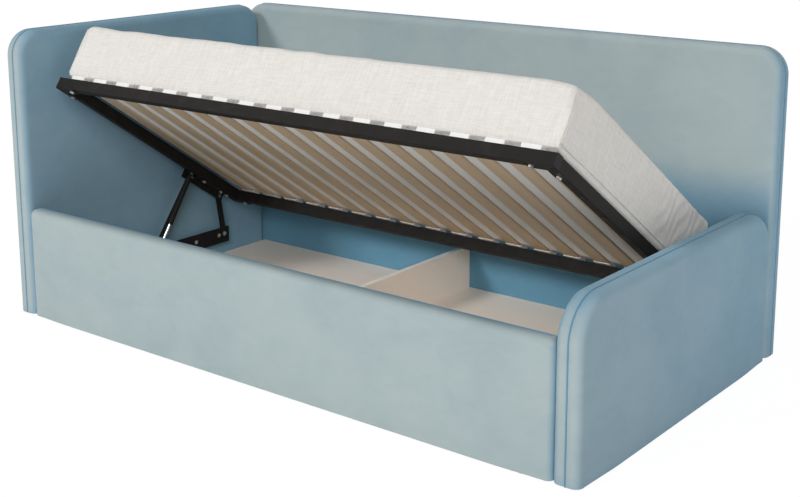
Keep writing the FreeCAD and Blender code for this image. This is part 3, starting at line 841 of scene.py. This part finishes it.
@dataclass(kw_only=True)
class Mattress(Assembly):
    """The mattress in its sewn linen cover, lying on the slats."""

    body: str = "lift_frame"
    length: float = 1.802
    depth: float = 0.9103
    base: float = 0.0455
    thick: float = 0.183
    corner: float = 0.02
    edge: float = 0.019
    hem: float = 0.012
    corner_faces: int = 5
    edge_faces: int = 5
    hem_faces: int = 3
    weld: float = 2e-4
    rear_gap: float = 0.001
    front_pitch: float = 0.024
    rear_pitch: float = 0.01
    rear_run: float = 0.36
    side_pitch: float = 0.0143
    fill: float = 0.9
    frames: int = 20
    rest_band: float = 0.001
    reach: float = 0.011
    pressure: float = 5.0
    tape: float = 0.0016
    tape_proud: float = 0.0008
    tape_height: float = 0.011
    seam: float = 0.0018
    seam_proud: float = 0.0006
    seam_pitch: float = 0.006
    seam_top: float = 0.012
    line_pitch: float = 0.03
    line_off: float = 0.01
    line_faces: int = 10
    slats: int = 17
    slat_pitch: float = 0.103
    slat_half: float = 0.0265
    slat_cuts: Triple = (0.01, 0.0035, -0.001)
    sag: float = 0.0065
    sag_run: float = 0.006
    sag_inset: Span = (0.03, 0.06)
    sag_ends: Span = (0.03, 0.04)
    lift: float = 0.008
    lift_run: float = 0.035
    hem_run: Span = (0.002, 0.02)
    under_run: Span = (0.001, 0.008)
    pillow: float = 0.024
    pillow_run: Span = (-0.02, 0.12)
    pillow_height: Span = (0.35, 1.0)
    pillow_drop: float = 0.45
    belly: float = 0.006
    belly_low: float = 1.3
    end_run: float = 0.03
    lean: float = 0.016
    lean_height: Span = (0.0, 0.9)
    crease: float = 0.0025
    crease_waves: Span = (165.0, 60.0)
    crease_sway: Triple = (1.8, 41.0, 30.0)
    crease_start: Span = (0.0, 0.1)
    crease_stop: Span = (0.3, 0.52)
    crease_height: Span = (0.05, 0.3)
    ripple: float = 0.0011
    ripple_waves: Triple = (29.0, 7.3, 61.0)
    ripple_sway: float = 2.0
    ripple_fine: float = 0.5
    ripple_height: Span = (0.45, 1.0)
    ripple_fade: Span = (0.1, 0.6)

    def block(self) -> Mesh:
        """The mattress before it is filled.

        Returns:
            A rounded block in the frame's own directions, cut finely beside each slat.
        """
        mesh = bmesh.new()
        bmesh.ops.create_cube(mesh, size=1.0)
        bmesh.ops.scale(mesh, vec=(self.length, self.depth, self.thick), verts=mesh.verts)
        middle = Vector((0.0, -self.depth / 2 - self.rear_gap, self.base + self.thick / 2))
        bmesh.ops.translate(mesh, vec=middle, verts=mesh.verts)
        top = self.base + self.thick
        upright = [edge for edge in mesh.edges if abs(edge.verts[0].co.z - edge.verts[1].co.z) > TOUCHING]
        self.rounded(mesh, upright, self.corner, self.corner_faces)
        rims = ((top, self.edge, self.edge_faces), (self.base, self.hem, self.hem_faces))
        for level, round_over, segments in rims:
            rim = [edge for edge in mesh.edges if len(edge.link_faces) == 2
                   and all(abs(vert.co.z - level) < TOUCHING for vert in edge.verts)]
            self.rounded(mesh, rim, round_over, segments)
        beside = [-self.slat_half - cut for cut in self.slat_cuts] + [0.0]
        beside += [self.slat_half + cut for cut in reversed(self.slat_cuts)] + [self.slat_pitch / 2]
        last = self.slats // 2 + 1
        across = [self.slat_pitch * n + spot for n in range(-last, last + 1) for spot in beside]
        across = [spot for spot in across if abs(spot) < self.length / 2 - self.end_run]
        self.sliced(mesh, LENGTHWISE, across)
        self.sliced(mesh, CROSSWISE, self.steps(-self.depth, -self.rear_run, self.front_pitch))
        self.sliced(mesh, CROSSWISE, self.steps(-self.rear_run, 0.0, self.rear_pitch))
        self.sliced(mesh, UPWARD, self.steps(self.base, top, self.side_pitch))
        bmesh.ops.remove_doubles(mesh, verts=mesh.verts[:], dist=self.weld)
        bmesh.ops.recalc_face_normals(mesh, faces=mesh.faces[:])
        return mesh

    def settled(self, mesh: Mesh) -> None:
        """Lets the underside sag between the slats, and lifts its hem over the front tube.

        Args:
            mesh: The filled cover.
        """
        for vert in mesh.verts:
            over = 1.0 - self.eased(vert.co.z - self.base, *self.hem_run)
            phase = abs((vert.co.x / self.slat_pitch + 0.5) % 1.0 - 0.5) * self.slat_pitch
            gap = self.eased(phase, self.slat_half, self.slat_half + self.sag_run)
            inside = self.eased(min(-vert.co.y, self.depth + vert.co.y), *self.sag_inset)
            inside *= self.eased(self.length / 2 - abs(vert.co.x), *self.sag_ends)
            front = 1.0 - self.eased(self.depth + vert.co.y, 0.0, self.lift_run)
            vert.co.z += over * (self.lift * front - self.sag * gap * inside)

    def level(self, spot: Vector) -> float:
        """A point's height on the cover, from 0 at the base to 1 at the top."""
        return (spot.z - self.base) / self.thick

    def corner_pull(self, spot: Vector) -> float:
        """How far the front foot corner is drawn in, as a pillow's is.

        Args:
            spot: A point of the cover.

        Returns:
            The pull, in metres.
        """
        near = 1.0 - self.eased(self.length / 2 - spot.x, *self.pillow_run)
        near *= 1.0 - self.eased(self.depth + spot.y, *self.pillow_run)
        return self.pillow * self.eased(self.level(spot), *self.pillow_height) * near

    def end_crease(self, spot: Vector) -> float:
        """How far the slid cloth at the rear of an end is folded out.

        Args:
            spot: A point of the cover.

        Returns:
            The fold's height, in metres.
        """
        slid = self.eased(-spot.y, *self.crease_start) - self.eased(-spot.y, *self.crease_stop)
        swing, sway_along, sway_up = self.crease_sway
        sway = swing * math.sin(spot.y * sway_along + spot.z * sway_up)
        along, up = self.crease_waves
        wave = math.sin(spot.y * along - spot.z * up + sway)
        return self.crease * wave * slid * self.eased(self.level(spot), *self.crease_height)

    def end_swell(self, spot: Vector) -> float:
        """How far an end bellies out, with its creases and the head end's lean.

        Args:
            spot: A point of the cover.

        Returns:
            The move along the bed, in metres.
        """
        side = math.copysign(1.0, spot.x)
        end = 1.0 - self.eased(self.length / 2 - abs(spot.x), 0.0, self.end_run)
        belly = self.belly * math.sin(math.pi * self.share(self.level(spot), 0.0, 1.0) ** self.belly_low)
        if side < 0.0:
            belly += self.lean * self.eased(self.level(spot), *self.lean_height)
        return side * end * (belly + self.end_crease(spot))

    def top_ripple(self, spot: Vector) -> float:
        """How far the top is uneven, most of all towards the head.

        Args:
            spot: A point of the cover.

        Returns:
            The rise, in metres.
        """
        long, bend, short = self.ripple_waves
        sway = self.ripple_sway * math.sin(spot.x * bend)
        lump = math.sin(spot.x * long + sway) + self.ripple_fine * math.sin(spot.x * short)
        fade = 1.0 - self.eased(spot.x, *self.ripple_fade)
        return self.ripple * lump * self.eased(self.level(spot), *self.ripple_height) * fade

    def pillowed(self, mesh: Mesh) -> None:
        """Draws the front foot corner in, swells the ends and makes the top uneven.

        Args:
            mesh: The filled cover.
        """
        for vert in mesh.verts:
            pull = self.corner_pull(vert.co)
            swell = self.end_swell(vert.co)
            rise = self.top_ripple(vert.co)
            vert.co += Vector((swell - pull, pull, rise - self.pillow_drop * pull))

    def filled(self, mesh: Mesh) -> Mesh:
        """Blows the sewn cover up under its filling and takes the shape it settles in.

        Args:
            mesh: The cover before it is filled.

        Returns:
            The filled cover.
        """
        data = bpy.data.meshes.new("mattress_filling")
        mesh.to_mesh(data)
        soft = placed("mattress_filling", data)
        rests = soft.vertex_groups.new(name="rests")
        flat = [vert.index for vert in data.vertices if vert.co.z < self.base + self.rest_band]
        rests.add(flat, 1.0, "REPLACE")
        cloth = soft.modifiers.new("filling", "CLOTH").settings
        cloth.quality = 6
        cloth.mass = 0.35
        cloth.tension_stiffness = 18.0
        cloth.compression_stiffness = 12.0
        cloth.shear_stiffness = 6.0
        cloth.bending_stiffness = 0.8
        cloth.use_pressure = True
        cloth.uniform_pressure_force = self.pressure
        cloth.effector_weights.gravity = 0.0
        cloth.vertex_group_mass = "rests"
        scene = bpy.context.scene
        for step in range(1, self.frames + 1):
            scene.frame_set(step)
        shown = soft.evaluated_get(bpy.context.evaluated_depsgraph_get())
        blown = [vert.co.copy() for vert in shown.data.vertices]
        for vert, spot in zip(mesh.verts, blown):
            move = spot - vert.co
            if move.length > self.reach:
                move *= self.reach / move.length
            vert.co += move
        scene.frame_set(1)
        bpy.data.objects.remove(soft)
        bpy.data.meshes.remove(data)
        return mesh

    def unwrapped(self, mesh: Mesh) -> None:
        """Lays the weave along each side of the mattress, in metres.

        Args:
            mesh: The cover, still in the frame's own directions.
        """
        layer = mesh.loops.layers.uv.new("weave")
        under = mesh.verts.layers.float.new(UNDERSIDE)
        mesh.normal_update()
        for vert in mesh.verts:
            # Marks the underside, which the linen paints paler as painted light.
            vert[under] = 1.0 - self.eased(vert.co.z - self.base, *self.under_run)
        for face in mesh.faces:
            across = max(range(3), key=lambda n: abs(face.normal[n]))
            one, two = [n for n in range(3) if n != across]
            for loop in face.loops:
                loop[layer].uv = (loop.vert.co[one], loop.vert.co[two])

    def round_line(self, level: float) -> list[Vector]:
        """A line round the mattress's two ends and its rear at one height.

        Args:
            level: Height above the slats.

        Returns:
            Points of the plan's outline at that height, a little outside the cover.
        """
        plan = bmesh.new()
        bmesh.ops.create_grid(plan, x_segments=1, y_segments=1, size=0.5)
        long, deep = self.length / 2, self.depth / 2
        spread = (2 * (long + self.line_off), 2 * (deep + self.line_off), 1.0)
        bmesh.ops.scale(plan, vec=spread, verts=plan.verts)
        self.rounded(plan, plan.verts[:], self.corner + self.line_off, self.line_faces, Rounding.CORNERS)
        self.sliced(plan, LENGTHWISE, self.steps(-long, long, self.line_pitch))
        self.sliced(plan, CROSSWISE, self.steps(-deep, deep, self.line_pitch))
        rim = [vert.co.copy() for vert in plan.verts if vert.is_boundary]
        plan.free()
        turned = {n: (math.atan2(spot.y / self.depth, spot.x / self.length) + math.pi / 4) % math.tau
                  for n, spot in enumerate(rim)}
        shift = Vector((0.0, -deep - self.rear_gap, self.base + level))
        return [rim[n] + shift for n in sorted(turned, key=turned.get) if turned[n] < math.pi * 1.5]

    @staticmethod
    def laid(line: list[Vector], skin: BVHTree, proud: float) -> list[Vector]:
        """A line of points drawn onto the cover's skin, standing proud of it."""
        nearest = [skin.find_nearest(spot) for spot in line]
        return [found + normal * proud for found, normal, _, _ in nearest]

    def build(self, linen: Material) -> None:
        """Makes the filled cover, its edge tape and its corner seams.

        Args:
            linen: The cover's finish.
        """
        mesh = self.block()
        mesh = self.filled(mesh)
        bmesh.ops.smooth_vert(mesh, verts=mesh.verts[:], factor=0.25, use_axis_x=True, use_axis_y=True,
                              use_axis_z=True)
        self.pillowed(mesh)
        self.settled(mesh)
        self.unwrapped(mesh)
        skin = BVHTree.FromBMesh(mesh)
        bmesh.ops.transform(mesh, matrix=LIFTED, verts=mesh.verts)
        cover = self.keep("mattress_linen", mesh, linen, Slot.MATTRESS_CLOTH, crease=70.0)
        round_off = cover.modifiers.new("cover_rounding", "SUBSURF")
        round_off.levels = round_off.render_levels = 1
        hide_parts("mattress")
        tape_line = self.laid(self.round_line(self.tape_height), skin, self.tape_proud)
        self.sewn("mattress_edge_tape", Piping(self.tape).swept(tape_line), linen)
        for name, side, end in (("front_head", -1, -1), ("front_foot", 1, -1),
                                ("rear_head", -1, 1), ("rear_foot", 1, 1)):
            cut = self.corner * (1 - math.sqrt(0.5))
            spot = Vector((side * (self.length / 2 - cut), (end - 1) * self.depth / 2 - end * cut, 0.0))
            low, high = self.tape_height - self.seam_pitch, self.thick - self.seam_top
            levels = self.steps(low, high, self.seam_pitch)
            line = [spot + UPWARD * (self.base + level) for level in levels]
            seam = Piping(self.seam).swept(self.laid(line, skin, self.seam_proud))
            self.sewn("mattress_corner_seam_" + name, seam, linen)

    def sewn(self, name: str, mesh: Mesh, linen: Material) -> None:
        """Keeps a seam of the cover.

        Args:
            name: The seam's name.
            mesh: Its shape in the frame's own directions.
            linen: The cover's finish.
        """
        self.unwrapped(mesh)
        bmesh.ops.transform(mesh, matrix=LIFTED, verts=mesh.verts)
        self.keep(name, mesh, linen, Slot.MATTRESS_CLOTH, crease=80.0)


@dataclass(kw_only=True)
class StorageTrim(Assembly):
    """Edge banding on the divider in the storage well."""

    band: float = 0.0009
    rounding: float = 0.0006
    rounding_faces: int = 3
    overlap: float = 0.0002

    def build(self, banding: Material) -> None:
        """Makes the band on the divider's top edge.

        Args:
            banding: The band's finish.
        """
        low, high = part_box("centre_divider")
        mesh = bmesh.new()
        bmesh.ops.create_cube(mesh, size=1.0)
        size, middle = high - low, (low + high) / 2
        bmesh.ops.scale(mesh, vec=(size.x + 2 * self.overlap, size.y, self.band * 2), verts=mesh.verts)
        bmesh.ops.translate(mesh, vec=(middle.x, middle.y, high.z), verts=mesh.verts)
        rims = [edge for edge in mesh.edges if all(vert.co.z > high.z for vert in edge.verts)]
        self.rounded(mesh, rims, self.rounding, self.rounding_faces)
        self.keep("divider_edge_band", mesh, banding, Slot.LAMINATE, crease=50.0)


@dataclass(kw_only=True)
class FrameTrim(Assembly):
    """Oval plugs pressed into the foot tube's underside."""

    body: str = "lift_frame"
    spots: tuple[float, ...] = (0.7255, 0.59)
    across: float = 0.8895
    long: float = 0.026
    wide: float = 0.009
    proud: float = 0.0016
    sunk: float = 0.001
    rim_points: int = 24
    taper: Span = (0.86, 0.94)

    def build(self, plastic: Material) -> None:
        """Makes the plugs.

        Args:
            plastic: The plugs' finish.
        """
        plugs = bmesh.new()
        for spot in self.spots:
            made = bmesh.ops.create_circle(plugs, cap_ends=True, segments=self.rim_points, radius=0.5)
            rim = made["verts"]
            bmesh.ops.scale(plugs, vec=(self.wide, self.long, 1.0), verts=rim)
            face = rim[0].link_faces[0]
            raised = bmesh.ops.extrude_face_region(plugs, geom=[face])["geom"]
            top = [item for item in raised if isinstance(item, bmesh.types.BMVert)]
            bmesh.ops.translate(plugs, vec=(0.0, 0.0, -self.proud - self.sunk), verts=top)
            bmesh.ops.scale(plugs, vec=(*self.taper, 1.0), verts=top)
            bmesh.ops.translate(plugs, vec=(self.across, -spot, self.sunk), verts=rim + top)
        bmesh.ops.transform(plugs, matrix=LIFTED, verts=plugs.verts)
        self.keep("foot_tube_plugs", plugs, plastic, Slot.BLACK_PLASTIC, crease=45.0)


@dataclass(frozen=True)
class Lamp:
    """A large soft lamp, far off."""

    name: str
    away: Triple
    strength: float
    softness: float

    def hang(self) -> None:
        """Puts the lamp up, so that its light comes from its own direction."""
        light = bpy.data.lights.new(self.name, "SUN")
        light.energy = self.strength
        light.angle = math.radians(self.softness)
        placed(self.name, light).rotation_euler = Vector(self.away).to_track_quat("Z", "Y").to_euler()


@dataclass(kw_only=True)
class Studio:
    """The pale floor, the soft light and the camera."""

    floor_half: float = 30.0
    floor_seen: float = 0.9
    floor_light: float = 0.7
    floor_glow: float = 1.05
    floor_colour: Colour = (0.86, 0.86, 0.86)
    footprint: Span = (1.04, 0.56)
    # Painted shadow: the light the floor sheds fades out over this span beside the bed's footprint.
    contact_shade: Span = (-0.1, 0.4)
    white: Colour = (1.0, 1.0, 1.0)
    sky: float = 0.1
    lamps: tuple[Lamp, ...] = (
        Lamp("main_softbox", (-0.33, -0.83, 0.45), 1.5, 12.0),
        Lamp("right_softbox", (0.55, -0.69, 0.46), 1.62, 28.0),
        Lamp("top_fill", (0.1, 0.45, 0.89), 0.6, 40.0),
    )
    eye: Triple = (2.465, -3.024, 1.413)
    heading: float = math.radians(37.62)
    looks_down: float = math.radians(11.5)
    lens: float = 59.95
    sensor: float = 36.0
    shift: Span = (-0.0194, -0.1422)

    @staticmethod
    def seen(bench: NodeBench) -> Signal:
        """Tells a look at the background from the light that it sheds on the bed.

        Args:
            bench: The bench of the floor or the sky.

        Returns:
            1 where the eye, a gloss or a glass looks, and 0 elsewhere.
        """
        path = bench.node("ShaderNodeLightPath")
        camera, glossy, through = (Signal(bench, path.outputs[name])
                                   for name in ("Is Camera Ray", "Is Glossy Ray", "Is Transmission Ray"))
        return bench.math("MAXIMUM", camera, bench.math("MAXIMUM", glossy, through))

    def floor(self) -> None:
        """Lays the floor, white to the eye but for the bed's shadow."""
        mesh = bmesh.new()
        bmesh.ops.create_grid(mesh, x_segments=1, y_segments=1, size=self.floor_half)
        data = bpy.data.meshes.new("studio_floor")
        mesh.to_mesh(data)
        mesh.free()
        bench = NodeBench.of_material("studio_floor")
        bench.finish({"Base Color": self.floor_colour, "Roughness": 0.9, "Specular IOR Level": 0.0})
        glow = bench.node("ShaderNodeEmission", None, {"Color": self.white, "Strength": self.floor_glow})
        spot = bench.place()
        # Painted shadow: the floor sheds less glow near the bed, standing in for the bed's shadow on it.
        wide, deep = self.footprint
        beside = bench.math("ABSOLUTE", bench.axis(spot, "X"), 0.0) - wide
        before = bench.math("ABSOLUTE", bench.axis(spot, "Y"), 0.0) - deep
        lit = bench.math("MAXIMUM", beside, before).between(*self.contact_shade) * self.floor_light
        mixed = bench.node("ShaderNodeMixShader", None, {
            0: lit + self.seen(bench) * (self.floor_seen - lit),
            1: Signal(bench, bench.shader.outputs[0]),
            2: Signal(bench, glow.outputs[0])})
        bench.feed(bench.end.inputs["Surface"], Signal(bench, mixed.outputs[0]))
        data.materials.append(bench.owner)
        placed("studio_floor", data)

    def light(self) -> None:
        """Sets the sky and the lamps."""
        bench = NodeBench.of_sky("studio_sky")
        bpy.context.scene.world = bench.finish({
            "Color": self.white,
            "Strength": self.seen(bench) * (1.0 - self.sky) + self.sky,
        })
        for lamp in self.lamps:
            lamp.hang()

    def camera(self) -> None:
        """Puts the camera where the picture was taken from."""
        view = bpy.data.cameras.new("picture_view")
        view.lens = self.lens
        view.sensor_width = self.sensor
        view.sensor_fit = "HORIZONTAL"
        view.shift_x, view.shift_y = self.shift
        view.clip_end = 200.0
        eye = placed("picture_view", view)
        eye.location = self.eye
        eye.rotation_euler = (math.pi / 2 - self.looks_down, 0.0, self.heading)
        bpy.context.scene.camera = eye

    def build(self) -> None:
        """Sets up floor, light and camera."""
        self.floor()
        self.light()
        self.camera()
        bpy.context.scene.view_settings.view_transform = "Standard"


@dataclass
class Finishes:
    """Every finish on the bed, made once."""

    def __post_init__(self) -> None:
        """Mixes the materials."""
        self.velvet = Velvet().material()
        self.linen = Linen().material()
        band = MouldedPlastic("white_edge_band", (0.96, 0.95, 0.93), (0.92, 0.91, 0.89), 0.4)
        self.banding = band.material()
        black = MouldedPlastic("black_plastic", (0.018, 0.018, 0.018), (0.011, 0.011, 0.011), 0.42, 0.1)
        pale = MouldedPlastic("pale_holders", (0.80, 0.79, 0.77), (0.70, 0.69, 0.67), 0.38)
        rod = BareSteel("polished_rod", (0.85, 0.85, 0.86), (0.78, 0.79, 0.80), 0.12)
        self.by_slot: dict[Slot, Material] = {
            Slot.VELVET: self.velvet,
            Slot.MATTRESS_CLOTH: self.linen,
            Slot.PANEL_BOARD: Chipboard().material(),
            Slot.SLAT_WOOD: SlatWood().material(),
            Slot.LAMINATE: Laminate().material(),
            Slot.BLACK_PLASTIC: black.material(),
            Slot.PALE_PLASTIC: pale.material(),
            Slot.POLISHED_ROD: rod.material(),
            Slot.BRIGHT_STEEL: BareSteel().material(),
            Slot.BLACK_STEEL: PaintedSteel().material(),
        }

    def dress(self, record: dict[str, Any]) -> None:
        """Gives every CAD node the finish of its slot.

        Args:
            record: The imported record.
        """
        for entry in record["subparts"]:
            node = frame["nodes"][entry["node"]]
            node.data.materials.clear()
            node.data.materials.append(self.by_slot[Slot(entry["material_slot"])])
            log.info("%s dressed in %s", entry["node"], entry["material_slot"])


def main() -> None:
    """Builds the bed's looks in order."""
    logging.basicConfig(level=logging.INFO, format="%(message)s")
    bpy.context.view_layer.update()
    finishes = Finishes()
    finishes.dress(frame["record"])
    Studio().build()
    panels = (
        PaddedPanel(name="head_panel", facing=Facing.ALONG_BED, corner=0.08, swell_in=0.003, swell_from=0.4),
        PaddedPanel(name="back_panel", facing=Facing.ACROSS_BED, corner=0.08, swell_in=0.003, swell_from=0.4),
        PaddedPanel(name="foot_panel", facing=Facing.ALONG_BED, corner=0.112, outward=-1.0),
        PaddedPanel(name="front_rail", facing=Facing.ACROSS_BED, corner=0.02, edge=0.018, outward=-1.0,
                    welt=0.0, swell_out=0.004),
    )
    for panel in panels:
        panel.build(finishes.velvet)
    Mattress().build(finishes.linen)
    StorageTrim().build(finishes.banding)
    FrameTrim().build(finishes.by_slot[Slot.BLACK_PLASTIC])


if __name__ == "__main__":
    main()
